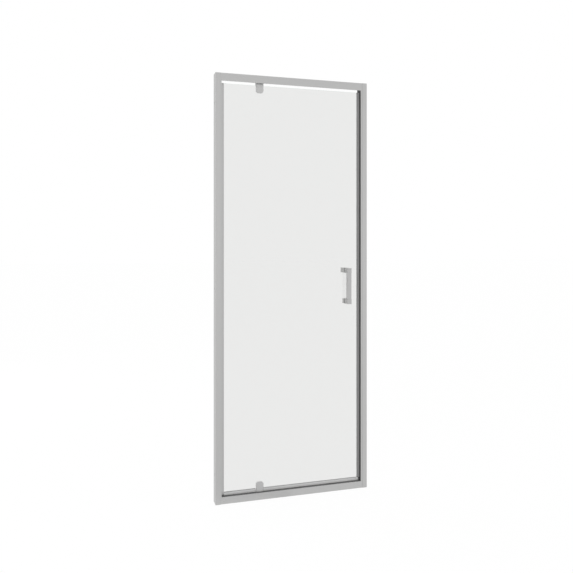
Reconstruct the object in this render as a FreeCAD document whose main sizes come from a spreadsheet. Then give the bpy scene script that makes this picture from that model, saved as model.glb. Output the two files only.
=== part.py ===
import FreeCAD, Part
import ast
import operator
import os
import re
import Sketcher

# A framed shower door whose glass leaf turns on two pivots set in from one side.
# Millimetres. X runs along the door, hinge side at -X. -Y faces the bathroom. Z is up.
# The origin is the middle of the threshold's underside, where it sits on the tray.

SIZES = (
    ("overall_width", 700, "over both wall channels"),
    ("overall_height", 1850, "tray to the top of the frame"),
    ("frame_depth", 46, "wall channel, front to back"),
    ("channel_wall", 1.5, "thickness of the wall channels"),
    ("channel_flange", 21.5, "flange of a wall channel, from the wall"),
    ("channel_edge", 0.6, "rounding on the edges of the flanges"),
    ("slide_gap", 0.1, "post in its wall channel, each side"),
    ("post_setback", 6, "wall to post, room for screw heads and for truing"),
    ("hinge_face", 26.5, "frame that shows on the hinge side"),
    ("closing_face", 29, "frame that shows on the closing side"),
    ("post_wall", 1.5, "thickness of the posts"),
    ("closing_rebate", 3, "rebate in the closing post for its strip"),
    ("rail_wall", 1.6, "thickness of the two rails"),
    ("head_height", 33.5, "front of the head rail, lip included"),
    ("head_box", 21, "box of the head rail, behind the lip"),
    ("threshold_height", 30.2, "front of the threshold"),
    ("threshold_rear", 20, "back edge of the threshold, lower for drainage"),
    ("threshold_rebate", 2, "rebate in the threshold for its strip"),
    ("strip_end", 2, "how far behind the leaf's middle that rebate ends"),
    ("drain_start", 3.5, "where the fall to the back begins"),
    ("fall_skin", 1.9, "wall of the threshold under its fall"),
    ("port_radius", 3.8, "outside of a screw port in the rails"),
    ("port_sink", 0.3, "how far a port runs into the wall beside it"),
    ("port_height", 12, "screw ports of the threshold above the tray"),
    ("corner_screw_radius", 1.75, "shank of a corner screw"),
    ("screw_gap", 0.05, "air round a screw in its port or hole"),
    ("corner_screw_length", 24, "corner screw under its head"),
    ("corner_screw_head", 3.3, "radius of its head"),
    ("corner_screw_head_height", 2, "height of its head"),
    ("access_half", 3.5, "half the height of the slots through which they are driven"),
    ("wall_hole_radius", 3, "holes for the wall fixings"),
    ("wall_hole_end", 125, "first and last wall fixing from the frame's ends"),
    ("post_screw_inset", 15, "wall to the screws that pin post and channel"),
    ("post_screw_end", 210, "first and last of those screws from the ends"),
    ("post_screw_radius", 1.9, "their shank"),
    ("post_slot_half", 3, "half the length of their slots in the channel, for truing the post"),
    ("post_screw_length", 9, "their length under the head"),
    ("post_screw_head", 3.6, "radius of their head"),
    ("post_screw_head_height", 2.2, "height of their head"),
    ("cap_radius", 5.5, "cover cap over such a screw"),
    ("cap_height", 3.6, "how far a cover cap stands out"),
    ("cap_roof", 1, "thickness of a cap over the screw's head"),
    ("end_cap_depth", 5, "plugs in the top of posts and channels"),
    ("fit_gap", 0.1, "air round a fixed piece in its place"),
    ("pivot_inset", 198, "wall of the hinge side to the pivot axis"),
    ("pin_radius", 3, "pivot pins"),
    ("pin_gap", 0.05, "air round a pin in its bush"),
    ("pin_in_clamp", 10, "how deep a pin is set in its clamp"),
    ("pin_end_gap", 2, "a pin's end to the end of its bush"),
    ("bush_radius", 6, "barrel of a pivot bush"),
    ("bush_flange", 8, "radius of its flange"),
    ("head_flange", 2, "thickness of the upper bush's flange"),
    ("bush_length", 16, "barrel of a bush under its flange"),
    ("block_length", 40, "pivot blocks inside the rails, along X"),
    ("block_depth", 20, "pivot blocks, along Y"),
    ("block_screw_reach", 13, "pivot axis to the screws of a block"),
    ("block_screw_radius", 2, "their shank"),
    ("block_screw_length", 12, "their length under the head"),
    ("block_screw_head", 3.7, "radius of their head"),
    ("block_screw_head_height", 2.2, "height of their head"),
    ("block_notch_gap", 1, "room round the screw heads and the bush in the threshold"),
    ("glass_thickness", 6, "toughened glass"),
    ("leaf_gap", 1.2, "hinge post to the leaf's side profile"),
    ("side_profile_width", 11.9, "leaf's side profile along X"),
    ("side_profile_depth", 10, "leaf's side profile along Y"),
    ("glass_bite", 6.4, "how far the side profile laps the glass"),
    ("bottom_profile_height", 12.4, "leaf's bottom profile"),
    ("bottom_profile_depth", 12, "leaf's bottom profile along Y"),
    ("profile_floor", 4, "bottom of that profile to the glass"),
    ("seal_slot_width", 2.6, "slot that holds a soft seal"),
    ("seal_slot_depth", 2.4, "depth of that slot"),
    ("side_seal_head", 0.8, "side seal outside its slot"),
    ("side_seal_half", 3, "half the width of its head"),
    ("drip_seal_head", 0.6, "drip seals below their slot"),
    ("drip_seal_half", 4.8, "half the width of their head"),
    ("leaf_clearance", 1, "threshold to the leaf's bottom profile"),
    ("top_clearance", 6.5, "glass to the lip of the head rail"),
    ("closing_clearance", 0.3, "leaf's magnetic seal to the closing strip"),
    ("strip_recess", 0.2, "closing strip back from the post's face"),
    ("magnet_seal_width", 11.3, "leaf's magnetic seal along X"),
    ("magnet_seal_depth", 9, "leaf's magnetic seal along Y"),
    ("magnet_seal_bite", 2.7, "how far it laps the glass"),
    ("seal_skin", 1.2, "skin round a magnet"),
    ("closing_magnet_width", 8, "magnet in the closing strip, along Y"),
    ("clamp_width", 33, "pivot clamps, along X"),
    ("clamp_depth", 20, "pivot clamps, front to back"),
    ("clamp_on_glass", 33.2, "height of the upper clamp's plate on the glass"),
    ("foot_plate", 38.3, "height of the lower clamp's plate on the glass"),
    ("clamp_head", 13, "upper clamp above the glass"),
    ("foot_clearance", 0.5, "threshold's top to the lower clamp"),
    ("foot_seat", 0.2, "lower clamp to the bush that carries it"),
    ("clamp_corner", 10, "rounded corners of the plates"),
    ("clamp_edge", 0.8, "bevel round the plates' outer face"),
    ("back_inset", 6, "back plates in from the clamps' sides and free ends"),
    ("gasket", 1, "gasket between clamp and glass"),
    ("gasket_inset", 1, "gaskets in from the edges of the back plates"),
    ("gasket_corner", 2, "cropped corners of the gaskets"),
    ("notch_width", 24, "notch in the glass for the lower clamp"),
    ("notch_height", 9, "height of that notch"),
    ("clamp_screw_radius", 3, "screw through each clamp, its shank"),
    ("clamp_screw_head", 5, "radius of its round head"),
    ("clamp_screw_sink", 4, "height of its head, sunk in the inner plate"),
    ("clamp_screw_socket", 2.5, "depth of the hexagon socket in its head"),
    ("clamp_screw_socket_corner", 2.8, "half the socket over its corners"),
    ("clamp_screw_end", 1.5, "metal left in front of its tip"),
    ("glass_hole_radius", 5, "holes in the glass for the clamp screws"),
    ("handle_inset", 61, "handle's axis in from the closing side's face"),
    ("handle_middle", 924, "tray to the middle of the handle"),
    ("handle_height", 162, "handle over both posts"),
    ("handle_width", 20, "bar and posts along X"),
    ("handle_post_height", 21.5, "posts along Z"),
    ("handle_reach", 33, "glass to the front of the posts"),
    ("handle_bar_depth", 12, "bar, front to back"),
    ("handle_step", 2, "bar back from the front of the posts"),
    ("handle_edge", 1, "rounding on the handle"),
    ("handle_washer", 1, "washers on each side of the glass"),
    ("washer_inset", 0.5, "washers in from the sides of the posts"),
    ("handle_bolt_radius", 3, "studs through the glass"),
    ("handle_bolt_in_post", 14, "stud inside a post"),
    ("handle_bolt_in_knob", 8, "stud inside the knob or the cap"),
    ("stud_end_gap", 1, "room beyond a stud's ends"),
    ("handle_hole_radius", 6, "holes in the glass for the handle"),
    ("knob_edge", 1, "bevel round the ends of knob and cap"),
    ("knob_length", 48, "inner knob off its washer"),
    ("inner_cap_length", 25, "inner cap off its washer"),
)

# Places that follow from the sizes. Each may use the ones above it.
PLACES = {
    "hinge_wall": "-overall_width / 2",
    "closing_wall": "overall_width / 2",
    "channel_front": "-frame_depth / 2",
    "channel_back": "frame_depth / 2",
    "post_front": "channel_front + channel_wall + slide_gap",
    "post_back": "channel_back - channel_wall - slide_gap",
    "hinge_side": "hinge_wall + hinge_face",
    "closing_side": "closing_wall - closing_face",
    "rebate_floor": "closing_side + closing_rebate",
    "head_under": "overall_height - head_box",
    "lip_under": "overall_height - head_height",
    "strip_floor": "threshold_height - threshold_rebate",
    "fall": "(threshold_height - threshold_rear) / (post_back - drain_start)",
    "chamber_top": "strip_floor - rail_wall",
    "chamber_fall": "drain_start + (threshold_height - fall_skin - chamber_top) / fall",
    "port_reach": "post_back - rail_wall - port_radius + port_sink",
    "head_port": "overall_height - head_box / 2",
    "pivot": "hinge_wall + pivot_inset",
    "notch_reach": "block_screw_reach + block_screw_head + block_notch_gap",
    "glass_back": "glass_thickness / 2",
    "glass_front": "-glass_thickness / 2",
    "leaf_bottom": "threshold_height + leaf_clearance",
    "leaf_left": "hinge_side + leaf_gap",
    "profile_right": "leaf_left + side_profile_width",
    "glass_left": "profile_right - glass_bite",
    "glass_bottom": "leaf_bottom + profile_floor",
    "glass_top": "lip_under - top_clearance",
    "seal_right": "closing_side + strip_recess - closing_clearance",
    "seal_left": "seal_right - magnet_seal_width",
    "glass_right": "seal_left + magnet_seal_bite",
    "profile_top": "leaf_bottom + bottom_profile_height",
    "clamp_half": "clamp_width / 2",
    "clamp_back": "clamp_depth / 2",
    "plate_back": "glass_back + gasket",
    "clamp_low": "glass_top - clamp_on_glass",
    "head_bottom": "glass_top + gasket",
    "clamp_high": "glass_top + clamp_head + gasket",
    "foot_low": "threshold_height + foot_clearance",
    "foot_high": "glass_bottom - gasket / 2",
    "foot_plate_high": "glass_bottom + foot_plate",
    "notch_top": "glass_bottom + notch_height",
    "boss_half": "notch_width / 2 - gasket / 2",
    "back_half": "clamp_half - back_inset",
    "upper_back_end": "clamp_low + back_inset",
    "lower_back_end": "foot_plate_high - back_inset",
    "upper_screw": "glass_top - clamp_on_glass / 2",
    "lower_screw": "notch_top + (foot_plate - notch_height) / 2",
    "foot_flange": "foot_low - foot_seat - strip_floor",
    "handle_axis": "closing_side - handle_inset",
    "handle_low": "handle_middle - handle_height / 2",
    "handle_high": "handle_middle + handle_height / 2",
    "upper_post": "handle_high - handle_post_height / 2",
    "lower_post": "handle_low + handle_post_height / 2",
    "handle_foot": "glass_front - handle_washer",
    "knob_foot": "glass_back + handle_washer",
    "handle_front": "glass_front - handle_reach",
}

CLAMP_SCREWS = ("upper_screw", "lower_screw")
BLOCK_SCREWS = ("pivot - block_screw_reach", "pivot + block_screw_reach")
HANDLE_POSTS = ("upper_post", "lower_post")

doc = FreeCAD.newDocument("pivot_shower_door")
sheet = doc.addObject("Spreadsheet::Sheet", "Sizes")
size_names = set()
nodes = []


# ---- sizes and expressions ----

STEPS = {ast.Add: operator.add, ast.Sub: operator.sub, ast.Mult: operator.mul, ast.Div: operator.truediv}


def fill_sheet():
    for row, (name, number, note) in enumerate(SIZES, start=1):
        sheet.set("A%d" % row, name)
        sheet.set("B%d" % row, str(number))
        sheet.setAlias("B%d" % row, name)
        sheet.set("C%d" % row, note)
        size_names.add(name)
    doc.recompute()


def expression(text):
    """The text with each place spelled out and each size read from the sheet."""
    def spell(match):
        word = match.group(0)
        if word in PLACES:
            return "(" + expression(PLACES[word]) + ")"
        if word in size_names:
            return "Sizes." + word
        return word
    return re.sub(r"[a-z_]+", spell, text)


def number(text):
    """What the text comes to with the sizes that the sheet holds now."""
    def work_out(step):
        if isinstance(step, ast.BinOp):
            return STEPS[type(step.op)](work_out(step.left), work_out(step.right))
        if isinstance(step, ast.UnaryOp):
            return -work_out(step.operand)
        if isinstance(step, ast.Name):
            return number(PLACES[step.id]) if step.id in PLACES else getattr(sheet, step.id)
        return step.value
    return work_out(ast.parse(text).body[0].value)


def node(thing):
    """Marks a finished piece, which becomes a file of its own."""
    nodes.append(thing)
    return thing


# ---- sketches ----

PLANES = {"plan": "XY_Plane", "front": "XZ_Plane", "section": "YZ_Plane"}


def new_sketch(body, name, view, start):
    """A sketch seen in plan (X, Y), from the front (X, Z) or in section (Y, Z), set at a height,
    depth or length. From the front, what is drawn grows towards the bathroom."""
    plane = [part for part in body.Origin.OriginFeatures if part.Role == PLANES[view]][0]
    sketch = body.newObject("Sketcher::SketchObject", name)
    sketch.AttachmentSupport = [(plane, "")]
    sketch.MapMode = "FlatFace"
    sign = "-" if view == "front" else ""
    sketch.setExpression("AttachmentOffset.Base.z", expression("%s(%s)" % (sign, start)))
    return sketch


def pin_down(sketch, kind, geometry, end, text):
    index = sketch.addConstraint(Sketcher.Constraint(kind, geometry, end, number(text)))
    sketch.setExpression("Constraints[%d]" % index, expression(text))


def draw_outline(sketch, corners):
    """A closed outline of straight lines through the corners."""
    points = [FreeCAD.Vector(number(across), number(up), 0) for across, up in corners]
    first = sketch.GeometryCount
    count = len(corners)
    for index in range(count):
        sketch.addGeometry(Part.LineSegment(points[index], points[(index + 1) % count]))
    for index, (across, up) in enumerate(corners):
        line = first + index
        following = first + (index + 1) % count
        sketch.addConstraint(Sketcher.Constraint("Coincident", line, 2, following, 1))
        pin_down(sketch, "DistanceX", line, 1, across)
        pin_down(sketch, "DistanceY", line, 1, up)


def draw_circle(sketch, across, up, radius):
    centre = FreeCAD.Vector(number(across), number(up), 0)
    circle = sketch.addGeometry(Part.Circle(centre, FreeCAD.Vector(0, 0, 1), number(radius)))
    pin_down(sketch, "DistanceX", circle, 3, across)
    pin_down(sketch, "DistanceY", circle, 3, up)
    index = sketch.addConstraint(Sketcher.Constraint("Radius", circle, number(radius)))
    sketch.setExpression("Constraints[%d]" % index, expression(radius))


def draw_all(sketch, outlines, circles):
    for corners in outlines:
        draw_outline(sketch, corners)
    for across, up, radius in circles:
        draw_circle(sketch, across, up, radius)


def rectangle(left, right, low, high):
    return [(left, low), (right, low), (right, high), (left, high)]


def square(across, up, half):
    """A square round a middle."""
    return rectangle("%s - (%s)" % (across, half), "%s + %s" % (across, half),
                     "%s - (%s)" % (up, half), "%s + %s" % (up, half))


HEXAGON_FLAT = 0.866  # half a hexagon over its flats where half over its corners is 1


def hexagon(corner):
    """A hexagon round the origin, with two corners on the first axis."""
    flat = "(%s) * %s" % (corner, HEXAGON_FLAT)
    return [
        (corner, "0"),
        ("(%s) / 2" % corner, flat),
        ("-(%s) / 2" % corner, flat),
        ("-(%s)" % corner, "0"),
        ("-(%s) / 2" % corner, "-" + flat),
        ("(%s) / 2" % corner, "-" + flat),
    ]


# ---- features ----

def new_body(label):
    body = doc.addObject("PartDesign::Body", label)
    body.Label = label
    return body


def add_pad(body, name, view, start, length, outlines=(), circles=()):
    sketch = new_sketch(body, name + "_outline", view, start)
    draw_all(sketch, outlines, circles)
    pad = body.newObject("PartDesign::Pad", name)
    pad.Profile = sketch
    pad.setExpression("Length", expression(length))
    doc.recompute()
    return pad


def cut(body, name, view, start, length, outlines=(), circles=()):
    """Takes away what a pad of the same words would add."""
    before = body.Tip.Shape.Volume
    sketch = new_sketch(body, name + "_outline", view, start)
    draw_all(sketch, outlines, circles)
    pocket = body.newObject("PartDesign::Pocket", name)
    pocket.Profile = sketch
    pocket.Reversed = True
    pocket.setExpression("Length", expression(length))
    doc.recompute()
    if not pocket.Shape.Volume < before:
        raise RuntimeError(name + " takes nothing away")


def straight_edges(body, along, **at):
    """Names of the edges of the body that run along X, Y or Z and lie at the places given."""
    found = []
    for index, edge in enumerate(body.Tip.Shape.Edges, start=1):
        box = edge.BoundBox
        spans = {"X": box.XLength, "Y": box.YLength, "Z": box.ZLength}
        across = sum(span for axis, span in spans.items() if axis != along)
        if spans[along] < 0.01 or across > 0.001:
            continue
        middle = {"x": box.Center.x, "y": box.Center.y, "z": box.Center.z}
        if all(abs(middle[axis] - number(text)) < 0.01 for axis, text in at.items()):
            found.append("Edge%d" % index)
    return found


def rim_edges(body, depth):
    """Names of the edges round the body's face at a depth."""
    found = []
    for index, edge in enumerate(body.Tip.Shape.Edges, start=1):
        box = edge.BoundBox
        if box.YLength < 0.001 and abs(box.Center.y - number(depth)) < 0.001:
            found.append("Edge%d" % index)
    return found


def bevel_edges(body, name, size, edges):
    base = body.Tip
    chamfer = body.newObject("PartDesign::Chamfer", name)
    chamfer.Base = (base, edges)
    chamfer.setExpression("Size", expression(size))
    doc.recompute()


def round_edges(body, name, radius, edges):
    base = body.Tip
    fillet = body.newObject("PartDesign::Fillet", name)
    fillet.Base = (base, edges)
    fillet.setExpression("Radius", expression(radius))
    doc.recompute()


def extrusion(label, view, start, length, corners, hollow=()):
    """A profile cut to length, with any closed chambers inside it."""
    body = new_body(label)
    add_pad(body, label + "_length", view, start, length, [corners] + list(hollow))
    return body


DIRECTIONS = {
    "up": FreeCAD.Rotation(),
    "down": FreeCAD.Rotation(FreeCAD.Vector(1, 0, 0), 180),
    "back": FreeCAD.Rotation(FreeCAD.Vector(1, 0, 0), -90),
    "front": FreeCAD.Rotation(FreeCAD.Vector(1, 0, 0), 90),
    "right": FreeCAD.Rotation(FreeCAD.Vector(0, 1, 0), 90),
    "left": FreeCAD.Rotation(FreeCAD.Vector(0, 1, 0), -90),
}


def set_down(thing, place, direction):
    thing.Placement = FreeCAD.Placement(FreeCAD.Vector(), DIRECTIONS[direction])
    for axis, text in zip("xyz", place):
        thing.setExpression("Placement.Base." + axis, expression(text))


def turned(label, half_section):
    """A round piece from half its section, given as (radius, height) about its own axis."""
    body = new_body(label)
    sketch = new_sketch(body, label + "_half", "front", "0")
    draw_outline(sketch, half_section)
    turn = body.newObject("PartDesign::Revolution", label + "_turn")
    turn.Profile = sketch
    turn.ReferenceAxis = (sketch, ["V_Axis"])
    turn.Angle = 360
    doc.recompute()
    return body


def group(label, one, places):
    """Copies of one piece, each with its place and the way it points, as one named group."""
    copies = []
    for count, (place, direction) in enumerate(places, start=1):
        copy = doc.addObject("App::Link", "%s_%d" % (label, count))
        copy.LinkedObject = one
        set_down(copy, place, direction)
        copies.append(copy)
    whole = doc.addObject("Part::Compound", label)
    whole.Label = label
    whole.Links = copies
    doc.recompute()
    return node(whole)


def hex_screw(label, head_radius, head_height, radius, length):
    """A screw along its own axis: a hexagon head above the seat and the shank below it."""
    body = new_body(label)
    add_pad(body, label + "_head", "plan", "0", head_height, [hexagon(head_radius)])
    add_pad(body, label + "_shank", "plan", "-(%s)" % length, length, circles=[("0", "0", radius)])
    return body


# ---- frame ----

SIDES = (
    ("hinge", "hinge_wall", "hinge_side", "1"),
    ("closing", "closing_wall", "closing_side", "-1"),
)


def wall_channels():
    """Open channels on the two walls, with three fixing holes each."""
    for side, wall, face, inward in SIDES:
        inner = "%s + %s * channel_wall" % (wall, inward)
        lip = "%s + %s * channel_flange" % (wall, inward)
        body = extrusion(side + "_wall_channel", "plan", "0", "overall_height", [
            (wall, "channel_front"),
            (lip, "channel_front"),
            (lip, "channel_front + channel_wall"),
            (inner, "channel_front + channel_wall"),
            (inner, "channel_back - channel_wall"),
            (lip, "channel_back - channel_wall"),
            (lip, "channel_back"),
            (wall, "channel_back"),
        ])
        edges = straight_edges(body, "Z", x=lip, y="channel_front")
        edges += straight_edges(body, "Z", x=lip, y="channel_back")
        round_edges(body, side + "_flange_edges", "channel_edge", edges)
        heights = ("wall_hole_end", "overall_height / 2", "overall_height - wall_hole_end")
        holes = [("0", height, "wall_hole_radius") for height in heights]
        start = wall if side == "hinge" else inner
        cut(body, side + "_wall_holes", "section", start, "channel_wall", circles=holes)
        slots = [rectangle(across + " - post_slot_half", across + " + post_slot_half",
                           height + " - post_screw_radius - screw_gap",
                           height + " + post_screw_radius + screw_gap")
                 for across, height in post_screw_places(wall, inward)]
        cut(body, side + "_pin_slots", "front", "channel_back", "channel_wall", slots)
        node(body)


def post_screw_places(wall, inward):
    """Where the screws that pin a post to its channel stand, as (X, Z)."""
    across = "%s + %s * post_screw_inset" % (wall, inward)
    return [(across, height) for height in ("post_screw_end", "overall_height - post_screw_end")]


def corner_places():
    """Centres of the screw ports, as (Y, Z): two in the threshold and two in the head rail."""
    for height in ("port_height", "head_port"):
        for reach in ("-(port_reach)", "port_reach"):
            yield reach, height


def posts():
    """Hollow posts inside the wall channels. The closing one has a rebate for its strip."""
    for side, wall, face, inward in SIDES:
        outer = "%s + %s * post_setback" % (wall, inward)
        corners = [
            (face, "post_front"),
            (outer, "post_front"),
            (outer, "post_back"),
            (face, "post_back"),
        ]
        web = face
        if side == "closing":
            web = "rebate_floor"
            corners += [
                (face, "post_back - post_wall"),
                (web, "post_back - post_wall"),
                (web, "post_front + post_wall"),
                (face, "post_front + post_wall"),
            ]
        chamber = rectangle(
            "%s + %s * post_wall" % (outer, inward), "%s - %s * post_wall" % (web, inward),
            "post_front + post_wall", "post_back - post_wall")
        body = extrusion(side + "_post", "plan", "0", "overall_height", corners, [chamber])
        screws = [square(reach, height, "corner_screw_radius + screw_gap")
                  for reach, height in corner_places()]
        slots = [rectangle("-(port_reach) - access_half", "port_reach + access_half",
                           height + " - access_half", height + " + access_half")
                 for height in ("port_height", "head_port")]
        near = "%s - post_wall" % web if side == "hinge" else web
        far = outer if side == "hinge" else "%s - post_wall" % outer
        cut(body, side + "_corner_holes", "section", near, "post_wall", screws)
        cut(body, side + "_corner_slots", "section", far, "post_wall", slots)
        pins = [(across, height, "post_screw_radius + screw_gap")
                for across, height in post_screw_places(wall, inward)]
        cut(body, side + "_post_pin_holes", "front", "post_back", "post_wall", circles=pins)
        node(body)


def add_ports(body, name, heights):
    """Round screw ports along a rail, fused to its front and back walls."""
    length = "closing_side - hinge_side"
    places = [(reach, heights) for reach in ("-(port_reach)", "port_reach")]
    solid = [(reach, height, "port_radius") for reach, height in places]
    bored = [(reach, height, "corner_screw_radius + screw_gap") for reach, height in places]
    add_pad(body, name + "_ports", "section", "hinge_side", length, circles=solid)
    cut(body, name + "_port_bores", "section", "hinge_side", length, circles=bored)


def cut_pivot_holes(body, name, height):
    """A round hole for the bush and square punched ones for the screws of the pivot block."""
    cut(body, name, "plan", height, "rail_wall",
        [square(across, "0", "block_screw_radius + screw_gap") for across in BLOCK_SCREWS],
        [("pivot", "0", "bush_radius + screw_gap")])


def head_rail():
    """A box with a lip in front that hides the top of the leaf and its pivot."""
    body = extrusion("head_rail", "section", "hinge_side", "closing_side - hinge_side", [
        ("post_front", "overall_height"),
        ("post_back", "overall_height"),
        ("post_back", "head_under"),
        ("post_front + rail_wall", "head_under"),
        ("post_front + rail_wall", "lip_under"),
        ("post_front", "lip_under"),
    ], [rectangle("post_front + rail_wall", "post_back - rail_wall",
                  "head_under + rail_wall", "overall_height - rail_wall")])
    add_ports(body, "head", "head_port")
    cut_pivot_holes(body, "head_pivot_holes", "head_under")
    node(body)


def under_fall(depth):
    """Height of the threshold's chamber under the sloping part of its top."""
    return "threshold_height - fall_skin - fall * (%s - drain_start)" % depth


def threshold():
    """A box with a rebated strip in front of the leaf and a fall to the back behind it."""
    inner_back = "post_back - rail_wall"
    body = extrusion("threshold", "section", "hinge_side", "closing_side - hinge_side", [
        ("post_front", "0"),
        ("post_back", "0"),
        ("post_back", "threshold_rear"),
        ("drain_start", "threshold_height"),
        ("strip_end", "threshold_height"),
        ("strip_end", "strip_floor"),
        ("post_front + rail_wall", "strip_floor"),
        ("post_front + rail_wall", "threshold_height"),
        ("post_front", "threshold_height"),
    ], [[
        ("post_front + rail_wall", "rail_wall"),
        (inner_back, "rail_wall"),
        (inner_back, under_fall(inner_back)),
        ("chamber_fall", "chamber_top"),
        ("post_front + rail_wall", "chamber_top"),
    ]])
    add_ports(body, "threshold", "port_height")
    cut_pivot_holes(body, "threshold_pivot_holes", "chamber_top")
    cut(body, "threshold_pivot_pocket", "plan", "strip_floor", "threshold_rebate", [rectangle(
        "pivot - notch_reach", "pivot + notch_reach",
        "strip_end - fit_gap", "bush_flange + block_notch_gap")])
    node(body)


def frame_strips():
    """Dark strips: one along the threshold, one in the closing post with its magnet inside."""
    strip_front = "post_front + rail_wall + fit_gap"
    strip = extrusion("threshold_strip", "section", "hinge_side", "closing_side - hinge_side",
                      rectangle(strip_front, "strip_end - fit_gap", "strip_floor",
                                "threshold_height - strip_recess"))
    cut(strip, "strip_notch", "plan", "strip_floor", "threshold_rebate", [rectangle(
        "pivot - notch_reach", "pivot + notch_reach", "-bush_flange - block_notch_gap", "strip_end")])
    node(strip)
    face = "closing_side + strip_recess"
    half = "closing_magnet_width / 2"
    skin = "seal_skin / 2"
    node(extrusion("closing_strip", "plan", "threshold_height", "head_under - threshold_height",
                   rectangle(face, "rebate_floor", "post_front + post_wall + fit_gap",
                             "post_back - post_wall - fit_gap"),
                   [rectangle(face + " + " + skin, "rebate_floor - " + skin, "-(%s)" % half, half)]))
    node(extrusion("closing_magnet", "plan", "threshold_height", "head_under - threshold_height",
                   rectangle("%s + %s + screw_gap" % (face, skin), "rebate_floor - %s - screw_gap" % skin,
                             "-(%s) + fit_gap" % half, "%s - fit_gap" % half)))


def end_caps():
    """Plugs that close the tops of the posts and of the gaps behind them."""
    start = "overall_height - end_cap_depth"
    for side, wall, face, inward in SIDES:
        outer = "%s + %s * post_setback" % (wall, inward)
        web = "rebate_floor" if side == "closing" else face
        chamber = ("%s + %s * (post_wall + fit_gap)" % (outer, inward),
                   "%s - %s * (post_wall + fit_gap)" % (web, inward))
        behind = ("%s + %s * (channel_wall + fit_gap)" % (wall, inward),
                  "%s - %s * fit_gap" % (outer, inward))
        node(extrusion(side + "_post_cap", "plan", start, "end_cap_depth", rectangle(
            *chamber, "post_front + post_wall + fit_gap", "post_back - post_wall - fit_gap")))
        node(extrusion(side + "_channel_cap", "plan", start, "end_cap_depth", rectangle(
            *behind, "post_front", "post_back")))


def frame_screws():
    """Corner screws, the screws that pin each post to its channel, and the caps on their heads."""
    corner = hex_screw("corner_screw", "corner_screw_head", "corner_screw_head_height",
                       "corner_screw_radius", "corner_screw_length")
    places = []
    for reach, height in corner_places():
        places.append((("hinge_side - post_wall", reach, height), "left"))
        places.append((("rebate_floor + post_wall", reach, height), "right"))
    group("corner_screws", corner, places)
    pin = hex_screw("post_screw", "post_screw_head", "post_screw_head_height",
                    "post_screw_radius", "post_screw_length")
    cap = turned("cover_cap", rectangle("0", "cap_radius", "0", "cap_height"))
    cut(cap, "cap_socket", "plan", "0", "cap_height - cap_roof", [hexagon("post_screw_head + fit_gap")])
    places = []
    for side, wall, face, inward in SIDES:
        for across, height in post_screw_places(wall, inward):
            places.append(((across, "channel_back", height), "back"))
    group("post_screws", pin, places)
    group("screw_caps", cap, places)


# ---- pivots ----

def pivot_blocks():
    """Solid blocks inside the two rails that carry the bushes, each held by two screws."""
    left = "pivot - block_length / 2"
    front = "-block_depth / 2"
    back = "block_depth / 2"
    roof = "overall_height - rail_wall - fit_gap"
    upper = extrusion("upper_pivot_block", "section", left, "block_length",
                      rectangle(front, back, "head_under + rail_wall", roof))
    floor = "rail_wall + fit_gap"
    lower = extrusion("lower_pivot_block", "section", left, "block_length", [
        (front, floor),
        (back, floor),
        (back, under_fall(back) + " - fit_gap"),
        ("chamber_fall - fit_gap", "chamber_top"),
        (front, "chamber_top"),
    ])
    holes = [("pivot", "0", "bush_radius + screw_gap")]
    holes += [(across, "0", "block_screw_radius + screw_gap") for across in BLOCK_SCREWS]
    cut(upper, "upper_block_holes", "plan", "head_under", "head_box", circles=holes)
    cut(lower, "lower_block_holes", "plan", "0", "strip_floor", circles=holes)
    node(upper)
    node(lower)
    screw = hex_screw("block_screw", "block_screw_head", "block_screw_head_height",
                      "block_screw_radius", "block_screw_length")
    places = [((across, "0", "head_under"), "down") for across in BLOCK_SCREWS]
    places += [((across, "0", "strip_floor"), "up") for across in BLOCK_SCREWS]
    group("pivot_block_screws", screw, places)


def pivot_bushes():
    """Flanged bushes: the upper one guides its pin, the lower one also carries the leaf."""
    for which, flange, height, direction in (
            ("upper", "head_flange", "head_under", "down"),
            ("lower", "foot_flange", "strip_floor", "up")):
        bush = turned(which + "_pivot_bush", [
            ("pin_radius + pin_gap", "-bush_length"),
            ("bush_radius", "-bush_length"),
            ("bush_radius", "0"),
            ("bush_flange", "0"),
            ("bush_flange", flange),
            ("pin_radius + pin_gap", flange),
        ])
        set_down(bush, ("pivot", "0", height), direction)
        node(bush)


def pivot_pins():
    """Steel pins set in the clamps and free to turn in the bushes."""
    for which, seat, out, direction in (
            ("upper", "clamp_high", "head_under + bush_length - pin_end_gap - clamp_high", "up"),
            ("lower", "foot_low", "foot_low - strip_floor + bush_length - pin_end_gap", "down")):
        pin = turned(which + "_pivot_pin", rectangle("0", "pin_radius", "-pin_in_clamp", out))
        set_down(pin, ("pivot", "0", seat), direction)
        node(pin)


def free_corners(body, half, height):
    """Names of the two edges at the corners of a plate's free end."""
    left = straight_edges(body, "Y", x="pivot - (%s)" % half, z=height)
    right = straight_edges(body, "Y", x="pivot + " + half, z=height)
    return left + right


def shape_plate(body, name, front, half, free_end, corner):
    """Rounds the free corners of a clamp's plate, then bevels the rim of its outer face."""
    round_edges(body, name + "_corners", corner, free_corners(body, half, free_end))
    bevel_edges(body, name + "_rim", "clamp_edge", rim_edges(body, front))


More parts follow.
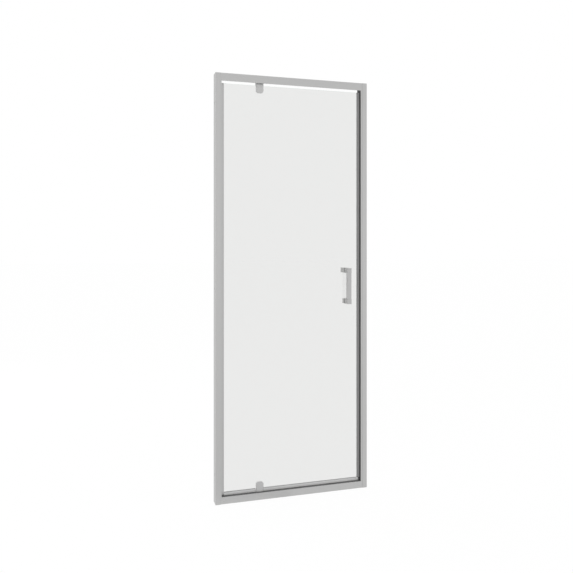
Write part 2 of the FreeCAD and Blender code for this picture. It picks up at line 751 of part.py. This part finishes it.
def clamp_bodies():
    """The front halves, which wrap over the glass and hold the pins."""
    start = "pivot - clamp_half"
    front = "-clamp_back"
    upper = extrusion("upper_clamp", "section", start, "clamp_width", [
        (front, "clamp_low"),
        ("-plate_back", "clamp_low"),
        ("-plate_back", "head_bottom"),
        ("clamp_back", "head_bottom"),
        ("clamp_back", "clamp_high"),
        (front, "clamp_high"),
    ])
    shape_plate(upper, "upper_clamp", front, "clamp_half", "clamp_low", "clamp_corner")
    cut(upper, "upper_pin_bore", "plan", "clamp_high - pin_in_clamp", "pin_in_clamp",
        circles=[("pivot", "0", "pin_radius")])
    lower = extrusion("lower_clamp", "section", start, "clamp_width", [
        (front, "foot_low"),
        ("clamp_back", "foot_low"),
        ("clamp_back", "foot_high"),
        ("-plate_back", "foot_high"),
        ("-plate_back", "foot_plate_high"),
        (front, "foot_plate_high"),
    ])
    shape_plate(lower, "lower_clamp", front, "clamp_half", "foot_plate_high", "clamp_corner")
    add_pad(lower, "pin_boss", "front", "plate_back", "2 * (plate_back)",
            [rectangle("pivot - boss_half", "pivot + boss_half", "foot_high", "notch_top - gasket / 2")])
    cut(lower, "lower_pin_bore", "plan", "foot_low", "pin_in_clamp",
        circles=[("pivot", "0", "pin_radius")])
    for body, height in ((upper, "upper_screw"), (lower, "lower_screw")):
        cut(body, height + "_bore", "front", "-plate_back", "clamp_back - plate_back - clamp_screw_end / 2",
            circles=[("pivot", height, "clamp_screw_radius + screw_gap")])
        node(body)


def clamp_plates():
    """The back halves, smaller plates with a bore and a counterbore for the screw."""
    for which, low, high, free_end, height in (
            ("upper", "upper_back_end", "head_bottom", "upper_back_end", "upper_screw"),
            ("lower", "foot_high", "lower_back_end", "lower_back_end", "lower_screw")):
        body = new_body(which + "_clamp_plate")
        thickness = "clamp_back - plate_back"
        add_pad(body, which + "_plate", "front", "clamp_back", thickness,
                [rectangle("pivot - back_half", "pivot + back_half", low, high)])
        shape_plate(body, which + "_plate", "clamp_back", "back_half", free_end,
                    "clamp_corner - back_inset")
        cut(body, which + "_plate_bore", "front", "clamp_back", thickness,
            circles=[("pivot", height, "clamp_screw_radius + screw_gap")])
        cut(body, which + "_plate_sink", "front", "clamp_back", "clamp_screw_sink",
            circles=[("pivot", height, "clamp_screw_head + screw_gap")])
        node(body)


def clamp_gaskets():
    """Thin gaskets on both faces of the glass, the size of the back plates."""
    half = "back_half - gasket_inset"
    upper_end = "upper_back_end + gasket_inset"
    lower_end = "lower_back_end - gasket_inset"
    for which, low, high, free_end, height in (
            ("upper", upper_end, "glass_top", upper_end, "upper_screw"),
            ("lower", "notch_top", lower_end, lower_end, "lower_screw")):
        one = new_body(which + "_gasket")
        sheet_corners = rectangle("pivot - (%s)" % half, "pivot + " + half, low, high)
        window = square("pivot", height, "clamp_screw_head")
        add_pad(one, which + "_gasket_sheet", "front", "0", "gasket", [sheet_corners, window])
        bevel_edges(one, which + "_gasket_corners", "gasket_corner", free_corners(one, half, free_end))
        group(which + "_clamp_gaskets", one, [
            (("0", "glass_front", "0"), "up"),
            (("0", "plate_back", "0"), "up"),
        ])


def clamp_screws():
    """One screw through each clamp from the back, its round head flush in the inner plate."""
    length = "clamp_depth - clamp_screw_end"
    screw = turned("clamp_screw", [
        ("0", "-(%s)" % length),
        ("clamp_screw_radius", "-(%s)" % length),
        ("clamp_screw_radius", "-clamp_screw_sink"),
        ("clamp_screw_head", "-clamp_screw_sink"),
        ("clamp_screw_head", "0"),
        ("0", "0"),
    ])
    cut(screw, "clamp_screw_hexagon", "plan", "-clamp_screw_socket", "clamp_screw_socket",
        [hexagon("clamp_screw_socket_corner")])
    group("clamp_screws", screw, [(("pivot", "clamp_back", height), "back") for height in CLAMP_SCREWS])


# ---- leaf ----

def glass_foot(left, right, top):
    """A pane's outline whose bottom edge has the notch for the lower clamp."""
    return [
        (left, "glass_bottom"),
        ("pivot - notch_width / 2", "glass_bottom"),
        ("pivot - notch_width / 2", "notch_top"),
        ("pivot + notch_width / 2", "notch_top"),
        ("pivot + notch_width / 2", "glass_bottom"),
        (right, "glass_bottom"),
        (right, top),
        (left, top),
    ]


def glass_pane():
    body = new_body("glass_pane")
    add_pad(body, "pane", "front", "glass_back", "glass_thickness",
            [glass_foot("glass_left", "glass_right", "glass_top")])
    holes = [("pivot", height, "glass_hole_radius") for height in CLAMP_SCREWS]
    holes += [("handle_axis", height, "handle_hole_radius") for height in HANDLE_POSTS]
    cut(body, "pane_holes", "front", "glass_back", "glass_thickness", circles=holes)
    node(body)


def side_profile():
    """The leaf's upright on the hinge side, lapped over the glass, with its soft seal."""
    half = "side_profile_depth / 2"
    slot = "seal_slot_width / 2"
    lap = "glass_back + fit_gap"
    length = "glass_top - leaf_bottom"
    node(extrusion("hinge_side_profile", "plan", "leaf_bottom", length, [
        ("leaf_left", "-" + half),
        ("profile_right", "-" + half),
        ("profile_right", "-(%s)" % lap),
        ("glass_left - fit_gap", "-(%s)" % lap),
        ("glass_left - fit_gap", lap),
        ("profile_right", lap),
        ("profile_right", half),
        ("leaf_left", half),
        ("leaf_left", slot),
        ("leaf_left + seal_slot_depth", slot),
        ("leaf_left + seal_slot_depth", "-" + slot),
        ("leaf_left", "-" + slot),
    ]))
    stem = "seal_slot_width / 2 - fit_gap"
    node(extrusion("hinge_side_seal", "plan", "leaf_bottom", length, [
        ("leaf_left + seal_slot_depth - fit_gap", "-(%s)" % stem),
        ("leaf_left + seal_slot_depth - fit_gap", stem),
        ("leaf_left", stem),
        ("leaf_left", "side_seal_half"),
        ("leaf_left - side_seal_head", "side_seal_half"),
        ("leaf_left - side_seal_head", "-side_seal_half"),
        ("leaf_left", "-side_seal_half"),
        ("leaf_left", "-(%s)" % stem),
    ]))


BOTTOM_RUNS = (
    ("short", "profile_right", "pivot - clamp_half - gasket / 2"),
    ("long", "pivot + clamp_half + gasket / 2", "glass_right + gasket"),
)


def bottom_profiles():
    """The leaf's bottom edge on each side of the lower clamp, with drip seals below."""
    half = "bottom_profile_depth / 2"
    slot = "seal_slot_width / 2"
    lap = "glass_back + fit_gap"
    stem = "seal_slot_width / 2 - fit_gap"
    slot_top = "leaf_bottom + seal_slot_depth"
    for which, left, right in BOTTOM_RUNS:
        length = "%s - (%s)" % (right, left)
        node(extrusion("bottom_profile_" + which, "section", left, length, [
            ("-" + half, "leaf_bottom"),
            ("-" + half, "profile_top"),
            ("-(%s)" % lap, "profile_top"),
            ("-(%s)" % lap, "glass_bottom - fit_gap"),
            (lap, "glass_bottom - fit_gap"),
            (lap, "profile_top"),
            (half, "profile_top"),
            (half, "leaf_bottom"),
            (slot, "leaf_bottom"),
            (slot, slot_top),
            ("-" + slot, slot_top),
            ("-" + slot, "leaf_bottom"),
        ]))
        node(extrusion("drip_seal_" + which, "section", left, length, [
            ("-(%s)" % stem, slot_top + " - fit_gap"),
            ("-(%s)" % stem, "leaf_bottom"),
            ("-drip_seal_half", "leaf_bottom"),
            ("-drip_seal_half", "leaf_bottom - drip_seal_head"),
            ("drip_seal_half", "leaf_bottom - drip_seal_head"),
            ("drip_seal_half", "leaf_bottom"),
            (stem, "leaf_bottom"),
            (stem, slot_top + " - fit_gap"),
        ]))


def magnetic_seal():
    """A soft seal pushed on the closing edge of the glass, with a magnet in its nose."""
    half = "magnet_seal_depth / 2"
    lap = "glass_back + screw_gap"
    start = "profile_top + fit_gap"
    length = "glass_top - (%s)" % start
    cavity = ("glass_right + screw_gap + seal_skin", "seal_right - seal_skin")
    node(extrusion("magnetic_seal", "plan", start, length, [
        ("seal_left", "-" + half),
        ("seal_right", "-" + half),
        ("seal_right", half),
        ("seal_left", half),
        ("seal_left", lap),
        ("glass_right + screw_gap", lap),
        ("glass_right + screw_gap", "-(%s)" % lap),
        ("seal_left", "-(%s)" % lap),
    ], [rectangle(*cavity, "-(%s - seal_skin)" % half, "%s - seal_skin" % half)]))
    node(extrusion("leaf_magnet", "plan", start, length, rectangle(
        cavity[0] + " + screw_gap", cavity[1] + " - screw_gap",
        "-(%s - seal_skin - screw_gap)" % half, "%s - seal_skin - screw_gap" % half)))


# ---- handle ----

def handle_bar():
    body = new_body("handle_bar")
    left = "handle_axis - handle_width / 2"
    right = "handle_axis + handle_width / 2"
    add_pad(body, "bar", "front", "handle_front + handle_step + handle_bar_depth", "handle_bar_depth",
            [rectangle(left, right, "handle_low + handle_post_height", "handle_high - handle_post_height")])
    edges = straight_edges(body, "Z", x=left) + straight_edges(body, "Z", x=right)
    round_edges(body, "bar_edges", "handle_edge", edges)
    node(body)


def handle_posts():
    """Square posts at the ends of the bar, each tapped for its stud."""
    one = new_body("handle_post")
    half = "handle_width / 2"
    half_height = "handle_post_height / 2"
    reach = "handle_reach - handle_washer"
    add_pad(one, "post_block", "front", "0", reach,
            [rectangle("-" + half, half, "-" + half_height, half_height)])
    round_edges(one, "post_rim", "handle_edge", rim_edges(one, "-(%s)" % reach))
    cut(one, "post_thread", "front", "0", "handle_bolt_in_post + stud_end_gap",
        circles=[("0", "0", "handle_bolt_radius + screw_gap")])
    group("handle_posts", one, [
        (("handle_axis", "handle_foot", height), "up") for height in HANDLE_POSTS])


def handle_fixings():
    """Studs through the glass with sleeves in the holes and washers on both faces."""
    reach = "handle_bolt_in_post + 2 * handle_washer + glass_thickness + handle_bolt_in_knob"
    stud = turned("handle_stud", rectangle("0", "handle_bolt_radius", "0", reach))
    group("handle_studs", stud, [
        (("handle_axis", "handle_foot - handle_bolt_in_post", height), "back")
        for height in HANDLE_POSTS])
    washer = new_body("handle_washer_plate")
    half = "handle_width / 2 - washer_inset"
    half_height = "handle_post_height / 2 - washer_inset"
    add_pad(washer, "washer_plate", "front", "0", "handle_washer",
            [rectangle("-(%s)" % half, half, "-(%s)" % half_height, half_height)],
            [("0", "0", "handle_bolt_radius + fit_gap")])
    places = []
    for height in HANDLE_POSTS:
        places.append((("handle_axis", "glass_front", height), "up"))
        places.append((("handle_axis", "knob_foot", height), "up"))
    group("handle_washers", washer, places)
    sleeve = turned("handle_sleeve", rectangle(
        "handle_bolt_radius + screw_gap", "handle_hole_radius - fit_gap", "0", "glass_thickness"))
    group("handle_sleeves", sleeve, [
        (("handle_axis", "glass_front", height), "back") for height in HANDLE_POSTS])


def inner_block(label, length, height):
    """A square block on the inner face of the leaf, screwed on a stud."""
    body = new_body(label)
    end = "knob_foot + " + length
    deep = "handle_bolt_in_knob + stud_end_gap"
    add_pad(body, label + "_block", "front", end, length, [rectangle(
        "handle_axis - handle_width / 2", "handle_axis + handle_width / 2",
        height + " - handle_post_height / 2", height + " + handle_post_height / 2")])
    bevel_edges(body, label + "_rim", "knob_edge", rim_edges(body, end))
    cut(body, label + "_thread", "front", "knob_foot + " + deep, deep,
        circles=[("handle_axis", height, "handle_bolt_radius + screw_gap")])
    node(body)


def inner_blocks():
    """The pull on the upper stud and the shorter cap on the lower one."""
    inner_block("inner_knob", "knob_length", "upper_post")
    inner_block("inner_cap", "inner_cap_length", "lower_post")


# ---- the whole door ----

def build():
    fill_sheet()
    wall_channels()
    posts()
    head_rail()
    threshold()
    frame_strips()
    end_caps()
    frame_screws()
    pivot_blocks()
    pivot_bushes()
    pivot_pins()
    clamp_bodies()
    clamp_plates()
    clamp_gaskets()
    clamp_screws()
    glass_pane()
    side_profile()
    bottom_profiles()
    magnetic_seal()
    handle_bar()
    handle_posts()
    handle_fixings()
    inner_blocks()
    doc.recompute()


def check():
    for thing in doc.Objects:
        if "Invalid" in thing.State or "Error" in thing.State:
            raise RuntimeError(thing.Label + " failed: " + str(thing.State))
    for piece in nodes:
        shape = piece.Shape
        if shape.isNull() or not shape.isValid():
            raise RuntimeError(piece.Label + " has no valid shape")


def write():
    os.makedirs("parts", exist_ok=True)
    for piece in nodes:
        piece.Shape.exportStep("parts/%s.step" % piece.Label)
        print(piece.Label, len(piece.Shape.Solids), round(piece.Shape.Volume))


build()
check()
write()
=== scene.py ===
import math

import bpy
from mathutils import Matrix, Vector


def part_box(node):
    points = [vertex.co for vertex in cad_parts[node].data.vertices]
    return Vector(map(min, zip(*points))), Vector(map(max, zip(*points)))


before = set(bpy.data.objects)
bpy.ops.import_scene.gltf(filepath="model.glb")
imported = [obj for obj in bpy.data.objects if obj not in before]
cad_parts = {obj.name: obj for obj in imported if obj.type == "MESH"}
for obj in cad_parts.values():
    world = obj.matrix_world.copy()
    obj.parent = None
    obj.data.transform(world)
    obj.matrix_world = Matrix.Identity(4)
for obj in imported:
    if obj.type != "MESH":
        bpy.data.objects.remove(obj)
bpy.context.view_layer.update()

# A framed pivot shower door in satin silver with clear glass. Metres, in the frame's own axes:
# X along the door, the bathroom towards -Y, Z up from the tray. Every piece of the door is loaded
# with its shape, and gets its finish here.

MM = 0.001

# ---- the photograph's camera: pixels, but for the sensor in millimetres and the eye's place ----

IMAGE_SIDE = 573
FOCAL_PIXELS = 640
HORIZON_ROW = 240
SENSOR_WIDTH = 36
EYE = (-0.843, -2.728, 1.133)
TURN_TO_RIGHT = math.radians(16.65)

# ---- a white studio ----

WHITE = (1, 1, 1, 1)
FLOOR_REACH = 30
FLOOR_DROP = 0.5 * MM
LAMP_AIM = (0, 0, 0.9)

# The world lights the door at this level, and is plain white where it is seen.
SKY_LEVEL = 0.62

# Where the floor is seen, this share of it is its own white, and the rest keeps the shadow.
GLOW_SHARE = 0.93
GLOW_LEVEL = 1.03

# ---- colours ----

SILVER = (0.525, 0.525, 0.522)
# Painted light: the clamps share the handle's plated finish, given this paler tone against the shade
# under the head rail's lip.
CLAMP_TONE_PAINTED_LIGHT = (0.60, 0.60, 0.597)
HANDLE_TONE = (0.52, 0.52, 0.517)
# Painted light: the leaf's bottom profiles are the frame's satin aluminium, given this paler tone to
# stay bright in the shade under the leaf.
LEAF_EDGE_PAINTED_LIGHT = (0.75, 0.75, 0.745)
MILL = (0.46, 0.46, 0.455)
FASTENER_STEEL = (0.52, 0.52, 0.51)
PIN_STEEL = (0.58, 0.58, 0.57)
GLASS_BODY = (0.82, 0.822, 0.815)
GLASS_GREEN = (0.66, 0.78, 0.72)

# ---- which way a grain runs: drawn out along one axis ----

ALONG_X = (0.02, 1, 1)
ALONG_Z = (1, 1, 0.02)

# ---- a colour Mix node's sockets, by number because their names repeat ----

FIRST_COLOUR = 6
SECOND_COLOUR = 7
MIXED_COLOUR = 2


def shade(colour, factor):
    return tuple(channel * factor for channel in colour)


def grey(level):
    return (level, level, level)


# ---- shader maths ----

class Value:
    """A number or colour that varies over a surface, with Python's arithmetic for the numbers."""

    def __init__(self, nodes, socket):
        self.nodes = nodes
        self.socket = socket

    def __add__(self, other):
        return self.nodes.maths("ADD", self, other)

    def __radd__(self, other):
        return self.nodes.maths("ADD", other, self)

    def __mul__(self, other):
        return self.nodes.maths("MULTIPLY", self, other)

    def __rmul__(self, other):
        return self.nodes.maths("MULTIPLY", other, self)

    def __gt__(self, other):
        return self.nodes.maths("GREATER_THAN", self, other)

    def __lt__(self, other):
        return self.nodes.maths("LESS_THAN", self, other)


class Nodes:
    """The node tree of a material or a world while it is being laid out."""

    def __init__(self, owner):
        owner.use_nodes = True
        self.tree = owner.node_tree
        self.tree.nodes.clear()

    def node(self, kind, settings, inputs, output=0):
        """Adds a node, its settings first, then its sockets' values or links, and gives an output."""
        made = self.tree.nodes.new(kind)
        for name, setting in settings.items():
            setattr(made, name, setting)
        for key, given in inputs.items():
            if isinstance(given, Value):
                self.tree.links.new(given.socket, made.inputs[key])
            else:
                made.inputs[key].default_value = given
        return Value(self, made.outputs[output]) if made.outputs else None

    def maths(self, operation, first, second):
        return self.node("ShaderNodeMath", {"operation": operation}, {0: first, 1: second})

    def seen_rays(self):
        """1 for what the camera, metal and glass look at, 0 for what lights the door."""
        direct, glossy, through = [
            self.node("ShaderNodeLightPath", {}, {}, ray)
            for ray in ("Is Camera Ray", "Is Glossy Ray", "Is Transmission Ray")]
        return self.maths("MINIMUM", direct + glossy + through, 1)


class Finish(Nodes):
    """A material while its nodes are being laid out."""

    def __init__(self, name):
        self.material = bpy.data.materials.new(name)
        super().__init__(self.material)

    def place(self):
        return self.node("ShaderNodeTexCoord", {}, {}, "Object")

    def noise(self, scale, detail=2, stretch=(1, 1, 1)):
        """Cloudy noise from 0 to 1: about this many clouds to a metre, stretched along the axes."""
        stretched = self.node("ShaderNodeMapping", {}, {"Vector": self.place(), "Scale": stretch})
        return self.node("ShaderNodeTexNoise", {}, {
            "Vector": stretched, "Scale": scale, "Detail": detail})

    def between(self, low, high, factor):
        """A colour that runs from low to high."""
        return self.node("ShaderNodeMix", {"data_type": "RGBA"}, {
            "Factor": factor, FIRST_COLOUR: (*low, 1), SECOND_COLOUR: (*high, 1)}, MIXED_COLOUR)

    def bump(self, height, strength, distance):
        return self.node("ShaderNodeBump", {}, {
            "Height": height, "Strength": strength, "Distance": distance})

    def surface(self, **sockets):
        """Ends the material in one Principled shader."""
        named = {name.replace("_", " "): given for name, given in sockets.items()}
        return self.end(self.node("ShaderNodeBsdfPrincipled", {}, named))

    def end(self, shader):
        self.node("ShaderNodeOutputMaterial", {}, {"Surface": shader})
        return self.material


# ---- finishes ----

def satin_silver(name, grain, colour=SILVER, metallic=0.85):
    """Satin anodised aluminium: fine extrusion lines along the profile and an even, soft sheen."""
    finish = Finish(name)
    lines = finish.noise(scale=900, detail=3, stretch=grain)
    clouds = finish.noise(scale=7)
    fine = finish.noise(scale=2600)
    tone = 0.3 + lines * 0.25 + clouds * 0.2
    return finish.surface(
        Base_Color=finish.between(shade(colour, 0.965), shade(colour, 1.03), tone),
        Metallic=metallic,
        Roughness=0.36 + lines * 0.07 + clouds * 0.03,
        Normal=finish.bump(lines * 0.6 + fine * 0.4, strength=0.1, distance=0.05 * MM),
    )


def satin_plated(name, grain, colour, metallic):
    """Cast hardware with a brushed and plated face, a little sharper than the profiles."""
    finish = Finish(name)
    strokes = finish.noise(scale=1400, detail=4, stretch=grain)
    clouds = finish.noise(scale=40)
    tone = strokes * 0.6 + clouds * 0.3
    return finish.surface(
        Base_Color=finish.between(shade(colour, 0.96), shade(colour, 1.04), tone),
        Metallic=metallic,
        Roughness=0.33 + strokes * 0.09,
        Normal=finish.bump(strokes, strength=0.12, distance=0.04 * MM),
    )


def turned_steel(name, colour):
    """Stainless fasteners and pins: bright, with fine turning marks."""
    finish = Finish(name)
    marks = finish.noise(scale=1800, stretch=(0.3, 3, 3))
    return finish.surface(
        Base_Color=finish.between(shade(colour, 0.85), shade(colour, 1.1), marks),
        Metallic=1.0,
        Roughness=0.22 + marks * 0.12,
        Normal=finish.bump(marks, strength=0.1, distance=0.03 * MM),
    )


def clear_glass(name):
    """Toughened glass: almost clear, green on its cut top edge, with a slight roller wave."""
    finish = Finish(name)
    green_band = 0.4 * MM
    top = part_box("glass_pane")[1].z
    height = finish.node("ShaderNodeSeparateXYZ", {}, {"Vector": finish.place()}, "Z")
    wave = finish.noise(scale=3, detail=1, stretch=(0.4, 1, 2))
    return finish.surface(
        Base_Color=finish.between(GLASS_BODY, GLASS_GREEN, height > top - green_band),
        Roughness=0.0,
        IOR=1.5,
        Transmission_Weight=1.0,
        Normal=finish.bump(wave, strength=0.02, distance=0.4 * MM),
    )


def soft_strip(name, grain, dark, light, roughness):
    """Extruded rubber or soft vinyl: faint lines along its length and a dull bloom."""
    finish = Finish(name)
    lines = finish.noise(scale=700, detail=3, stretch=grain)
    bloom = finish.noise(scale=60, detail=3)
    skin = lines * 0.5 + bloom * 0.5
    return finish.surface(
        Base_Color=finish.between(dark, light, skin),
        Roughness=roughness + bloom * 0.15,
        Specular_IOR_Level=0.4,
        Normal=finish.bump(skin, strength=0.2, distance=0.1 * MM),
    )


def moulded(name, dark, light, roughness):
    """Moulded plastic with a fine spark-eroded texture."""
    finish = Finish(name)
    grain = finish.noise(scale=2200, detail=3)
    flow = finish.noise(scale=90)
    return finish.surface(
        Base_Color=finish.between(dark, light, flow),
        Roughness=roughness + grain * 0.12,
        Normal=finish.bump(grain, strength=0.15, distance=0.05 * MM),
    )


# ---- which pieces wear them ----

def dress(material, *pieces):
    for piece in pieces:
        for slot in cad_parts[piece].material_slots:
            slot.material = material


def dress_metal():
    dress(satin_silver("satin_silver_upright", ALONG_Z),
          "hinge_wall_channel", "closing_wall_channel", "hinge_post", "closing_post",
          "hinge_side_profile")
    dress(satin_silver("satin_silver_level", ALONG_X),
          "head_rail", "threshold")
    # Painted light: a paler, less metallic copy of the satin silver on the leaf's bottom profiles.
    dress(satin_silver("satin_leaf_edge_painted_light", ALONG_X, LEAF_EDGE_PAINTED_LIGHT, metallic=0.35),
          "bottom_profile_short", "bottom_profile_long")
    dress(satin_silver("mill_aluminium", ALONG_X, MILL),
          "upper_pivot_block", "lower_pivot_block")
    # Painted light: a paler, less metallic copy of the plated finish, lifting the shade under the head
    # rail's lip.
    dress(satin_plated("satin_clamp_painted_light", ALONG_X, CLAMP_TONE_PAINTED_LIGHT, metallic=0.4),
          "upper_clamp", "lower_clamp", "upper_clamp_plate", "lower_clamp_plate")
    dress(satin_plated("satin_handle", ALONG_Z, HANDLE_TONE, metallic=0.6),
          "handle_bar", "handle_posts", "inner_knob", "inner_cap")
    dress(turned_steel("stainless_screws", FASTENER_STEEL),
          "corner_screws", "post_screws", "pivot_block_screws", "clamp_screws", "handle_studs")
    dress(turned_steel("stainless_pins", PIN_STEEL),
          "upper_pivot_pin", "lower_pivot_pin")


def dress_strips():
    """The photograph shows the level black strip paler than the upright one, and the level seals
    darker than the upright ones."""
    dress(soft_strip("black_strip_upright", ALONG_Z, grey(0.042), grey(0.070), roughness=0.55),
          "closing_strip")
    # Painted light: the same black rubber as the upright strip, made paler where it lies on the
    # threshold in shade.
    dress(soft_strip("black_strip_level_painted_light", ALONG_X, grey(0.165), grey(0.205), roughness=0.55),
          "threshold_strip")
    dress(soft_strip("grey_seal_upright", ALONG_Z, grey(0.36), grey(0.44), roughness=0.42),
          "hinge_side_seal", "magnetic_seal")
    # Painted shade: the same grey seal as the upright ones, darkened where the drip seals sit in the
    # shade under the leaf.
    dress(soft_strip("grey_seal_level_painted_shade", ALONG_X, grey(0.10), grey(0.14), roughness=0.42),
          "drip_seal_short", "drip_seal_long")
    dress(soft_strip("magnet_strip", ALONG_Z, (0.045, 0.04, 0.036), (0.07, 0.062, 0.056), roughness=0.5),
          "closing_magnet", "leaf_magnet")
    dress(soft_strip("clamp_gasket", ALONG_X, grey(0.50), grey(0.58), roughness=0.5),
          "upper_clamp_gaskets", "lower_clamp_gaskets")


def dress_glass_and_plastic():
    dress(clear_glass("toughened_glass"),
          "glass_pane")
    dress(moulded("grey_cap", (0.42, 0.42, 0.415), (0.47, 0.47, 0.465), roughness=0.42),
          "screw_caps", "hinge_post_cap", "closing_post_cap", "hinge_channel_cap",
          "closing_channel_cap")
    dress(moulded("nylon_bush", (0.66, 0.65, 0.60), (0.74, 0.73, 0.68), roughness=0.38),
          "upper_pivot_bush", "lower_pivot_bush")
    dress(moulded("clear_washer", (0.62, 0.63, 0.62), (0.70, 0.71, 0.70), roughness=0.25),
          "handle_washers", "handle_sleeves")


# ---- stage ----

def floor():
    """A white paper floor that keeps a faint shadow of the door."""
    bpy.ops.mesh.primitive_plane_add(size=2 * FLOOR_REACH, location=(0, 0, -FLOOR_DROP))
    ground = bpy.context.object
    ground.name = "floor"
    bpy.ops.object.transform_apply(location=True, rotation=True, scale=True)
    finish = Finish("white_paper")
    fibres = finish.noise(scale=400, detail=3)
    paper = finish.node("ShaderNodeBsdfDiffuse", {}, {
        "Color": finish.between(grey(0.86), grey(0.90), fibres)})
    glow = finish.node("ShaderNodeEmission", {}, {"Color": WHITE, "Strength": GLOW_LEVEL})
    mixed = finish.node("ShaderNodeMixShader", {}, {
        0: finish.seen_rays() * GLOW_SHARE, 1: paper, 2: glow})
    ground.data.materials.append(finish.end(mixed))


def sky():
    """White where it is seen, softer where it lights the door."""
    world = bpy.data.worlds.new("studio")
    bpy.context.scene.world = world
    nodes = Nodes(world)
    level = SKY_LEVEL + nodes.seen_rays() * (1 - SKY_LEVEL)
    light = nodes.node("ShaderNodeBackground", {}, {"Color": WHITE, "Strength": level})
    nodes.node("ShaderNodeOutputWorld", {}, {"Surface": light})


def soft_box(name, place, width, height, watts):
    """A large soft lamp that faces the door, and that isn't seen through its glass."""
    bpy.ops.object.light_add(type="AREA", location=place)
    lamp = bpy.context.object
    lamp.name = name
    lamp.data.shape = "RECTANGLE"
    lamp.data.size = width
    lamp.data.size_y = height
    lamp.data.energy = watts
    lamp.visible_transmission = False
    lamp.rotation_euler = (Vector(LAMP_AIM) - Vector(place)).to_track_quat("-Z", "Y").to_euler()
    return lamp


def lamps():
    soft_box("key", place=(-2.2, -3.2, 1.2), width=2.4, height=2.4, watts=22)
    soft_box("fill", place=(2.8, -2.6, 0.8), width=2.4, height=2.4, watts=4)
    rim = soft_box("rim", place=(-2.6, 2.6, 1.6), width=1.6, height=2.6, watts=12)
    rim.visible_glossy = False


def camera():
    bpy.ops.object.camera_add(location=EYE, rotation=(math.pi / 2, 0, -TURN_TO_RIGHT))
    eye = bpy.context.object
    eye.name = "photograph_view"
    eye.data.sensor_width = SENSOR_WIDTH
    eye.data.lens = SENSOR_WIDTH * FOCAL_PIXELS / IMAGE_SIDE
    eye.data.shift_y = (HORIZON_ROW - IMAGE_SIDE / 2) / IMAGE_SIDE
    bpy.context.scene.camera = eye


bpy.ops.object.select_all(action="DESELECT")
bpy.context.scene.view_settings.view_transform = "Standard"
dress_metal()
dress_strips()
dress_glass_and_plastic()
floor()
sky()
lamps()
camera()
